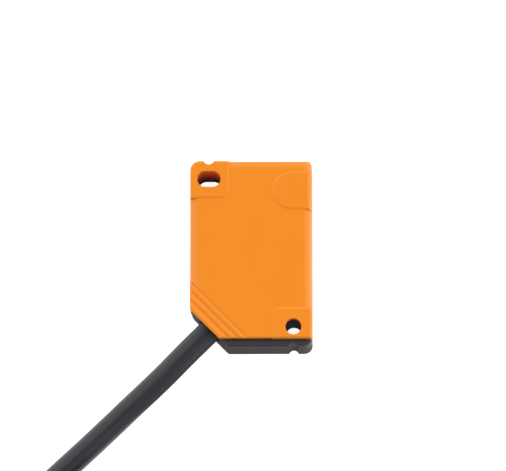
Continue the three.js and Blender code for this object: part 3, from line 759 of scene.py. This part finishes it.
corner_room = prism("corner_room", [
    (LEFT - 3, BOTTOM - 3, 0.05), (LEFT + CHAMFER + 6.2, BOTTOM - 3, 0.05),
    (LEFT - 3, BOTTOM + CHAMFER + 6.2, 0.05)], -1, COVER_Z)
combine(corner_room, [
    prism("side_wall_stays", rectangle(LEFT - 4, RIGHT, CORNER_TOP + SEAM, TOP), -2, HEIGHT)])
combine(housing, [
    hollow,
    corner_room,
    prism("end_room", rectangle(LEFT - 1, 11.7, BOTTOM - 1, BOTTOM + 2.55), -1, COVER_Z),
    top_nick("nick"),
    hole_cutter("slot", slot_ring, -1, HEIGHT),
    hole_cutter("hole", hole_ring, -1, HEIGHT),
    prism("window_recess", rectangle(window_low.y - 0.1, window_high.y + 0.1, window_low.z - 0.1,
                                     window_high.z + 0.1, 0.9), window_low.x - 0.05, RIGHT + 1, "x"),
    prism("window_opening", rectangle(window_low.y + 0.4, window_high.y - 0.4, window_low.z + 0.4,
                                      window_high.z - 0.4, 0.7), 11, RIGHT, "x"),
    tube("dial_bore", DIAL_Y, DIAL_Z, DIAL_BORE, LEFT - 1, -10, "x"),
    prism("lamp_opening", rectangle(lamp_low.y - 0.15, lamp_high.y + 0.15, lamp_low.z - 0.15,
                                    lamp_high.z + 0.15, 0.4), LEFT - 1, -11, "x"),
])
dress(housing, "sensor", "front_housing", "orange_plastic")

# %% [markdown]
# ## The black rear base
#
# The base is the other half of the case: a back plate, and walls of full height only at the bottom end
# and along the cut corner, where the orange cover lies on them. Its upper outer edge is well rounded,
# which is what makes the ledge under the orange edge read as a soft dark band.

# %% Base
ROOT = PLATE - 0.2                   # what stands on the plate starts a little inside it
RIB_TOP = 3.1
SHELL_SIDE = 11.55                   # the orange side wall begins here
ABOVE = BASE_TOP_Z + 1


def base_corners(top=TOP, inset=0.0):
    return shrunk([
        (LEFT + CHAMFER, BOTTOM, 0.8), (RIGHT, BOTTOM, 1.7), (RIGHT, top, 1.0),
        (LEFT, top, 2.0), (LEFT, BOTTOM + CHAMFER, 3.0)], inset)


base = prism("rear_base_shell", base_corners(), 0.0, BASE_TOP_Z, round_low=0.3, round_high=0.55, steps=12)
combine(base, [
    prism("inside", base_corners(inset=2.4), PLATE, ABOVE),
    prism("above_walls", rectangle(LEFT - 1, RIGHT + 1, CORNER_TOP + 1.4, TOP + 1), PLATE, ABOVE),
    prism("left_shell", rectangle(LEFT - 1, LEFT + 10, CORNER_TOP, TOP), PLATE, ABOVE),
    prism("right_side", rectangle(3, RIGHT + 1, BOTTOM + 2.4, TOP + 1), PLATE, ABOVE),
])
boss = tube("boss_hole", HOLE_X, HOLE_Y, 3.0, ROOT, BASE_TOP_Z)
combine(boss, [prism("web", rectangle(HOLE_X - 0.6, HOLE_X + 0.6, BOTTOM + 2.3, HOLE_Y - 2), ROOT,
                     BASE_TOP_Z - 0.01)], "UNION")
combine(boss, [prism("shell_side", rectangle(SHELL_SIDE, RIGHT + 1, BOTTOM, TOP), PLATE, ABOVE)])
combine(base, [
    boss,
    prism("slot_foot", [(pad_left, PAD_SLOT_Y, 0.05), (PAD_SLOT_X, PAD_SLOT_Y, 0.3),
                        (PAD_SLOT_X, TOP, 0.3), (pad_left, TOP, 2.0)], 0.0, PLATE - 0.01, round_low=0.3),
] + [
    prism("rib", rectangle(*sides), ROOT, RIB_TOP, round_high=0.15)
    for sides in ((-11.65, -10.95, -6, 10), (10.95, 11.65, -9, 8), (-3.6, 5.6, 17.55, 18.25))
] + [
    tube("post", x, y, radius, ROOT, top, sides=24)
    for x, y in ((-9.2, 11), (9.2, 7), (1.6, -12)) for radius, top in ((1.0, 3.25), (0.5, 4.65))
], "UNION")

EXIT = Vector(LEAD_ROUTE[0])
CABLE_BORE = 3.25
combine(base, [
    prism("shell_notch", rectangle(SHELL_SIDE, RIGHT + 1, COVER_BOTTOM - SEAM, BOTTOM + 3), PLATE, ABOVE),
    turned("cable_bore", [(0, -4), (CABLE_BORE, -4), (CABLE_BORE, 2), (0, 2)], EXIT, -ACROSS),
    top_nick("nick_top"),
    tube("nick_bottom", HOLE_X, BOTTOM - 0.34, NICK, -1, HEIGHT + 1),
    loft("slot_through", [(slot_ring(0), -1), (slot_ring(0), HEIGHT)]),
    loft("hole_through", [(hole_ring(0), -1), (hole_ring(0), HEIGHT + 1)]),
])
dress(base, "sensor", "rear_base", "black_plastic")

# %% [markdown]
# ## Optics
#
# The light leaves and comes back through a smoked window in the narrow side. Behind it sit two lenses in
# a black carrier. They are turned shapes, and the window is a thin plate with a rounded rim.

# %% Window and lenses
window = prism("optics_window_plate",
               rectangle(window_low.y, window_high.y, window_low.z, window_high.z, 0.8),
               window_low.x, window_high.x, "x", round_low=0.05, round_high=0.15)
dress(window, "sensor", "optics_window", "smoked_window")

for lens_node in ("emitter_lens", "receiver_lens"):
    low, high = box_mm(lens_node)
    middle = (low + high) / 2
    radius = (high.y - low.y) / 2
    dome = [(radius * math.cos(math.radians(a)), 0.5 + 0.75 * math.sin(math.radians(a)))
            for a in range(0, 90, 9)]
    lens = turned(lens_node + "_turned", [(0, 0), (radius, 0)] + dome + [(0, 1.25)],
                  (low.x, middle.y, middle.z), (1, 0, 0))
    dress(lens, "sensor", lens_node, "clear_plastic")

# %% [markdown]
# ## Adjuster and lamp
#
# The sensitivity is set with a small slotted brass screw in the other narrow side. It is the only part
# that moves, so it rides on its own body. The lamp's light comes out through a clear pipe beside it.

# %% Adjuster screw
screw_low, screw_high = box_mm("adjuster_screw")
outer, inner = screw_low.x, screw_high.x
head = (screw_high.y - screw_low.y) / 2
DRIVER_SLOT, DRIVER_DEPTH = 0.5, 0.6
screw_profile = [(0, 0), (0.9, 0), (0.9, 1.5), (head - 0.12, 1.5), (head, 1.62), (head, 2.4),
                 (head - 0.06, 2.54), (head - 0.2, inner - outer), (0, inner - outer)]
screw = turned("adjuster_screw_turned", screw_profile, (inner, DIAL_Y, DIAL_Z), (-1, 0, 0))
combine(screw, [
    prism("driver_slot", rectangle(DIAL_Y - 2, DIAL_Y + 2, DIAL_Z - DRIVER_SLOT / 2,
                                   DIAL_Z + DRIVER_SLOT / 2, 0.02), outer - 1, outer + DRIVER_DEPTH, "x"),
])
dress(screw, "adjuster", "adjuster_screw", "brass")

light_pipe = prism("indicator_light_pipe_moulded", [
    (lamp_low.z, lamp_low.x, 0.1), (lamp_high.z, lamp_low.x, 0.1), (lamp_high.z, lamp_high.x - 1.1, 0.1),
    ((lamp_low.z + lamp_high.z) / 2, lamp_high.x, 0.1), (lamp_low.z, lamp_high.x, 0.1)][::-1],
    lamp_low.y, lamp_high.y, "y", round_low=0.1, round_high=0.1, steps=3)
dress(light_pipe, "sensor", "indicator_light_pipe", "clear_plastic")

# %% [markdown]
# ## Bare wire ends
#
# The three cores end in stripped and tinned strands: six thin wires twisted round a straight middle one.
# That is a rule, so a Geometry Nodes tree makes it. One wire is a spiral, which the tree copies round the
# axis at even steps. The finished bundle is then laid along the line of its CAD node.


# %% Node tree for twisted strands
def geometry_tree(name, inputs):
    """A Geometry Nodes tree with inputs {name: (socket type, default)} and one geometry output."""
    tree = bpy.data.node_groups.new(name, "GeometryNodeTree")
    for label, (kind, default) in inputs.items():
        socket = tree.interface.new_socket(label, in_out="INPUT", socket_type=kind)
        if default is not None:
            socket.default_value = default
    tree.interface.new_socket("Geometry", in_out="OUTPUT", socket_type="NodeSocketGeometry")
    return tree, tree.nodes.new("NodeGroupInput"), tree.nodes.new("NodeGroupOutput")


def end_tree(tree, given, result, source, output):
    """Turns the copies into real geometry and gives it the tree's material."""
    link = linker(tree)
    real = add_node(tree, "GeometryNodeRealizeInstances")
    coated = add_node(tree, "GeometryNodeSetMaterial")
    link(source, output, real, "Geometry")
    link(real, "Geometry", coated, "Geometry")
    link(given, "Material", coated, "Material")
    link(coated, "Geometry", result, "Geometry")
    return tree


def made_by(tree, name, **values):
    """A plain mesh object made by the tree, with its inputs set by the sockets' identifiers."""
    piece = new_piece(name, [(0, 0, 0)], [])
    change = piece.modifiers.new(name, "NODES")
    change.node_group = tree
    identifiers = {item.name: item.identifier for item in tree.interface.items_tree
                   if item.in_out == "INPUT"}
    for label, value in values.items():
        change[identifiers[label.replace("_", " ")]] = value
    bake(piece, change)
    return piece


def build_strands():
    tree, given, result = geometry_tree("twisted_strands", {
        "Length": ("NodeSocketFloat", 0.005), "Lay Radius": ("NodeSocketFloat", 0.0003),
        "Wire Radius": ("NodeSocketFloat", 0.00015), "Turns": ("NodeSocketFloat", 0.6),
        "Wires": ("NodeSocketInt", 6), "Material": ("NodeSocketMaterial", None)})
    link = linker(tree)
    spiral = add_node(tree, "GeometryNodeCurveSpiral", Resolution=16)
    link(given, "Turns", spiral, "Rotations")
    link(given, "Lay Radius", spiral, "Start Radius")
    link(given, "Lay Radius", spiral, "End Radius")
    link(given, "Length", spiral, "Height")
    section = add_node(tree, "GeometryNodeCurvePrimitiveCircle", Resolution=8)
    link(given, "Wire Radius", section, "Radius")
    wire = add_node(tree, "GeometryNodeCurveToMesh", Fill_Caps=True)
    link(spiral, "Curve", wire, "Curve")
    link(section, "Curve", wire, "Profile Curve")
    spots = add_node(tree, "GeometryNodePoints")
    link(given, "Wires", spots, "Count")
    number = add_node(tree, "GeometryNodeInputIndex")
    share = add_node(tree, "ShaderNodeMath", {"operation": "DIVIDE"})
    link(number, "Index", share, 0)
    link(given, "Wires", share, 1)
    turn = add_node(tree, "ShaderNodeMath", {"operation": "MULTIPLY"})
    turn.inputs[1].default_value = 2 * math.pi
    link(share, 0, turn, 0)
    about = add_node(tree, "ShaderNodeCombineXYZ")
    link(turn, 0, about, "Z")
    copies = add_node(tree, "GeometryNodeInstanceOnPoints")
    link(spots, "Points", copies, "Points")
    link(wire, "Mesh", copies, "Instance")
    link(about, "Vector", copies, "Rotation")
    straight = add_node(tree, "GeometryNodeMeshCylinder", Vertices=8)
    link(given, "Wire Radius", straight, "Radius")
    link(given, "Length", straight, "Depth")
    middle = add_node(tree, "ShaderNodeMath", {"operation": "MULTIPLY"})
    middle.inputs[1].default_value = 0.5
    link(given, "Length", middle, 0)
    lift = add_node(tree, "ShaderNodeCombineXYZ")
    link(middle, 0, lift, "Z")
    raised = add_node(tree, "GeometryNodeTransform")
    link(straight, "Mesh", raised, "Geometry")
    link(lift, "Vector", raised, "Translation")
    both = add_node(tree, "GeometryNodeJoinGeometry")
    link(copies, "Instances", both, "Geometry")
    link(raised, "Geometry", both, "Geometry")
    return end_tree(tree, given, result, both, "Geometry")


STRANDS = build_strands()
print("tree", STRANDS.name, "with", len(STRANDS.nodes), "nodes")

# %% [markdown]
# A tip follows the coil's curve for a few millimetres only, so a straight bundle between its two ends
# stays within its width. The ends come from the corners of the CAD node's own mesh that lie furthest
# apart along the coil.


# %% Strands on each core
def tip_ends(node):
    """The two ends of a short rod in millimetres: the middles of its first and last corners."""
    points = [corner.co / MM for corner in frame["nodes"][node].data.vertices]
    around = [math.atan2(p.y - COIL_Y, p.x - COIL_X) for p in points]
    first, last = min(around), max(around)
    ends = []
    for edge in (first, last):
        near = [p for p, angle in zip(points, around) if abs(angle - edge) < (last - first) * 0.05]
        ends.append(sum(near, Vector()) / len(near))
    return ends


for colour in CORE_COLOURS:
    start, end = tip_ends("core_tip_" + colour)
    bundle = made_by(STRANDS, f"core_tip_{colour}_strands", Length=(end - start).length * MM,
                     Lay_Radius=0.00025, Wire_Radius=0.00013, Material=LOOKS["tinned_metal"])
    facing = (end - start).to_track_quat("Z", "Y").to_matrix().to_4x4()
    bundle.data.transform(Matrix.Translation(start * MM) @ facing)
    dress(bundle, "sensor", "core_tip_" + colour, "tinned_metal", sharp=60)

# %% [markdown]
# ## The tie
#
# A black strap holds the turns together. It is a flat band with rounded corners, closed by a small locking
# head, and its outer face has fine ratchet teeth. The band is lofted round its rectangular path, and a
# second tree sets the teeth along the path at an even pitch.


# %% Node tree for ratchet teeth
def build_teeth():
    tree, given, result = geometry_tree("ratchet_teeth", {
        "From": ("NodeSocketVector", None), "To": ("NodeSocketVector", None),
        "Pitch": ("NodeSocketFloat", 0.0009), "Tooth": ("NodeSocketVector", None),
        "Material": ("NodeSocketMaterial", None)})
    link = linker(tree)
    path = add_node(tree, "GeometryNodeCurvePrimitiveLine")
    link(given, "From", path, "Start")
    link(given, "To", path, "End")
    spots = add_node(tree, "GeometryNodeCurveToPoints", {"mode": "LENGTH"})
    link(path, "Curve", spots, "Curve")
    link(given, "Pitch", spots, "Length")
    tooth = add_node(tree, "GeometryNodeMeshCube")
    link(given, "Tooth", tooth, "Size")
    copies = add_node(tree, "GeometryNodeInstanceOnPoints")
    link(spots, "Points", copies, "Points")
    link(tooth, "Mesh", copies, "Instance")
    return end_tree(tree, given, result, copies, "Instances")


TEETH = build_teeth()
print("tree", TEETH.name, "with", len(TEETH.nodes), "nodes")

# %% [markdown]
# The band runs close round the turns, so its path follows from the coil's own sizes. The locking head sits
# inside the coil, and the teeth run along the two faces that show.

# %% Strap, head and teeth
TIE_ANGLE, TIE_WIDE, TIE_THICK, TIE_GAP, TIE_BEND = -60.0, 4.0, 0.4, 0.15, 1.4
tie_inner = OUTER_TURN - 2 * TURN - CABLE_WIDE / 2 - 0.2 - TIE_GAP
tie_outer = ring_high.x - COIL_X + TIE_GAP
tie_low, tie_high = ring_low.z - TIE_GAP, ring_high.z + TIE_GAP


def joined(piece, others):
    """One mesh from several closed bodies that touch."""
    mesh = bmesh.new()
    for part in [piece] + others:
        mesh.from_mesh(part.data)
    mesh.to_mesh(piece.data)
    mesh.free()
    for other in others:
        bpy.data.objects.remove(other)
    return piece


def strap_ring(grown):
    """The band's path as corners (height, distance from the coil's axis)."""
    return rectangle(tie_low - grown, tie_high + grown, tie_inner - grown, tie_outer + grown,
                     TIE_BEND + grown)


strap = prism("coil_tie_band", strap_ring(TIE_THICK), -TIE_WIDE / 2, TIE_WIDE / 2, "y", round_low=0.12,
              round_high=0.12)
combine(strap, [prism("strap_inside", strap_ring(0.0), -TIE_WIDE, TIE_WIDE, "y")])
lock = prism("strap_head", rectangle(-2.9, 2.9, tie_high - 7.4, tie_high - 2.4, 0.5),
             tie_inner - TIE_THICK - 2.6, tie_inner - TIE_THICK + 0.1, "x", round_low=0.4)
tooth_wide, tooth_long, tooth_high = TIE_WIDE - 1.4, 0.45, 0.24
top_face, side_face = tie_high + TIE_THICK, tie_outer + TIE_THICK
teeth = [
    made_by(TEETH, "teeth_on_top", From=Vector((tie_inner + TIE_BEND, 0, top_face)) * MM,
            To=Vector((tie_outer - TIE_BEND, 0, top_face)) * MM,
            Tooth=Vector((tooth_long, tooth_wide, tooth_high)) * MM, Material=LOOKS["tie_plastic"]),
    made_by(TEETH, "teeth_on_side", From=Vector((side_face, 0, tie_low + TIE_BEND)) * MM,
            To=Vector((side_face, 0, tie_high - TIE_BEND)) * MM,
            Tooth=Vector((tooth_high, tooth_wide, tooth_long)) * MM, Material=LOOKS["tie_plastic"]),
]
joined(strap, [lock] + teeth)
strap.data.transform(Matrix.Translation(Vector((COIL_X, COIL_Y, 0)) * MM)
                     @ Matrix.Rotation(math.radians(TIE_ANGLE), 4, "Z"))
dress(strap, "sensor", "coil_tie", "tie_plastic")

# %% [markdown]
# With the tie and the bare ends made, the cable is finished, and its name is printed.

# %% The cable's facts
print("declared:", cable.name)

# %% [markdown]
# ## Floor, light and background
#
# The object lies on a white table that burns out to plain white, as in a catalogue, while what the object
# receives back from the table is ordinary soft grey light. In reflections the table carries a painted glow,
# an emission that only reflections see: bright beyond the object's two sides, and nearly dark in front of
# its black end, which paints shade there. So the side walls show a painted reflection and the end stays
# deep.

# %% Floor
table_look, table_tree, table_shader = new_look("white_table")
link = linker(table_tree)
table_shader.inputs["Base Color"].default_value = (0.45, 0.45, 0.45, 1.0)
table_shader.inputs["Roughness"].default_value = 0.9
table_shader.inputs["Specular IOR Level"].default_value = 0.1
table_shader.inputs["Emission Color"].default_value = (1.0, 1.0, 1.0, 1.0)
ray = table_tree.nodes.new("ShaderNodeLightPath")
place = table_tree.nodes.new("ShaderNodeTexCoord")
parts = table_tree.nodes.new("ShaderNodeSeparateXYZ")
link(place, "Object", parts, "Vector")
SEEN_GLOW = 0.93                     # what lifts the table to white for the camera alone
DIM_GLOW = 0.02
# painted reflection: a glow only glossy rays see, bright beyond the sides, dim in front of the end as
# painted shade
painted_reflection_glows = []                           # brighter beyond the two sides than in front of the dark end
for axis, start, end, glow in (("X", RIGHT + 2.5, RIGHT + 7, 2.2), ("X", LEFT - 5, LEFT - 10, 1.2),
                              ("Y", -10, -14, 0.1)):
    beyond = add_node(table_tree, "ShaderNodeMapRange", From_Min=start * MM, From_Max=end * MM,
                      To_Min=DIM_GLOW, To_Max=glow)
    link(parts, axis, beyond, "Value")
    brightest = add_node(table_tree, "ShaderNodeMath", {"operation": "MAXIMUM"})
    brightest.inputs[0].default_value = 0.0
    if painted_reflection_glows:
        link(painted_reflection_glows[-1], 0, brightest, 0)
    link(beyond, "Result", brightest, 1)
    painted_reflection_glows.append(brightest)
# only glossy rays see the painted glow
mirrored = add_node(table_tree, "ShaderNodeMath", {"operation": "MULTIPLY"})
link(painted_reflection_glows[-1], 0, mirrored, 1)
seen = add_node(table_tree, "ShaderNodeMath", {"operation": "MULTIPLY_ADD"})
seen.inputs[1].default_value = SEEN_GLOW
link(ray, "Is Glossy Ray", mirrored, 0)
link(ray, "Is Camera Ray", seen, 0)
link(mirrored, 0, seen, 2)
link(seen, 0, table_shader, "Emission Strength")

REACH = 3000                         # half the table's side
floor = new_piece("floor", [(-REACH, -REACH, 0), (REACH, -REACH, 0), (REACH, REACH, 0),
                            (-REACH, REACH, 0)], [(0, 1, 2, 3)])
floor.data.materials.append(table_look)

# %% [markdown]
# The studio is a white tent, made of four gradients that are multiplied. It is bright low down on both
# sides, the right more than the left, and dark on the near side and straight above, where the camera looks
# in. So the flat cover keeps its full colour, and rounded edges catch a pale reflection. One large soft
# panel on the right gives the light a direction.

# %% Light
world = bpy.data.worlds.new("studio")
world.use_nodes = True
sky = world.node_tree
direction = sky.nodes.new("ShaderNodeTexCoord")
SKY_STRENGTH = 1.37
GRADIENTS = [                                  # towards, from, to, brightness at each
    ((1.0, 0.0, 0.0), 0.8, 1.0, 1.0, 2.6),     # bright low down on the right
    ((-1.0, 0.0, 0.0), 0.75, 1.0, 1.0, 1.75),  # and on the left
    ((0.0, 1.0, 0.0), -1.0, 0.3, 0.15, 1.0),   # darker on the near side
    ((0.0, 0.0, 1.0), 0.88, 0.99, 1.0, 0.1),   # dark straight above, where the camera is
]
link = linker(sky)
product = None
for towards, start, end, first, last in GRADIENTS:
    along = add_node(sky, "ShaderNodeVectorMath", {"operation": "DOT_PRODUCT"})
    along.inputs[1].default_value = towards
    link(direction, "Generated", along, 0)
    ramp = add_node(sky, "ShaderNodeMapRange", {"interpolation_type": "SMOOTHSTEP"}, From_Min=start,
                    From_Max=end, To_Min=first, To_Max=last)
    link(along, "Value", ramp, "Value")
    before, product = product, add_node(sky, "ShaderNodeMath", {"operation": "MULTIPLY"})
    link(ramp, "Result", product, 0)
    if before is None:
        product.inputs[1].default_value = SKY_STRENGTH
    else:
        link(before, 0, product, 1)
link(product, 0, sky.nodes["Background"], "Strength")
sky.nodes["Background"].inputs["Color"].default_value = (1.0, 1.0, 1.0, 1.0)
bpy.context.scene.world = world

panel_data = bpy.data.lights.new("panel", "AREA")
panel_data.shape, panel_data.size, panel_data.energy = "SQUARE", 1.6, 3.0
panel = bpy.data.objects.new("panel", panel_data)
panel.location = (1.2, -0.9, 0.9)
panel.rotation_euler = (-panel.location).to_track_quat("-Z", "Y").to_euler()
bpy.context.scene.collection.objects.link(panel)
bpy.context.scene.view_settings.view_transform = "Standard"
print(len(GRADIENTS), "gradients in the studio light")

# %% [markdown]
# ## What stays from the CAD
#
# The parts inside the case, and small parts whose CAD shape is already right, keep their mesh and only
# get a finish. The record says which finish each one has.

# %% Finishes for the CAD nodes
for part in frame["record"]["subparts"]:
    node = frame["nodes"][part["node"]]
    node.data.materials.clear()
    node.data.materials.append(LOOKS[part["material_slot"]])
cable.data.materials.append(LOOKS["cable_jacket"])
print(sum(not n.hide_render for n in frame["nodes"].values()), "CAD nodes keep their shape")
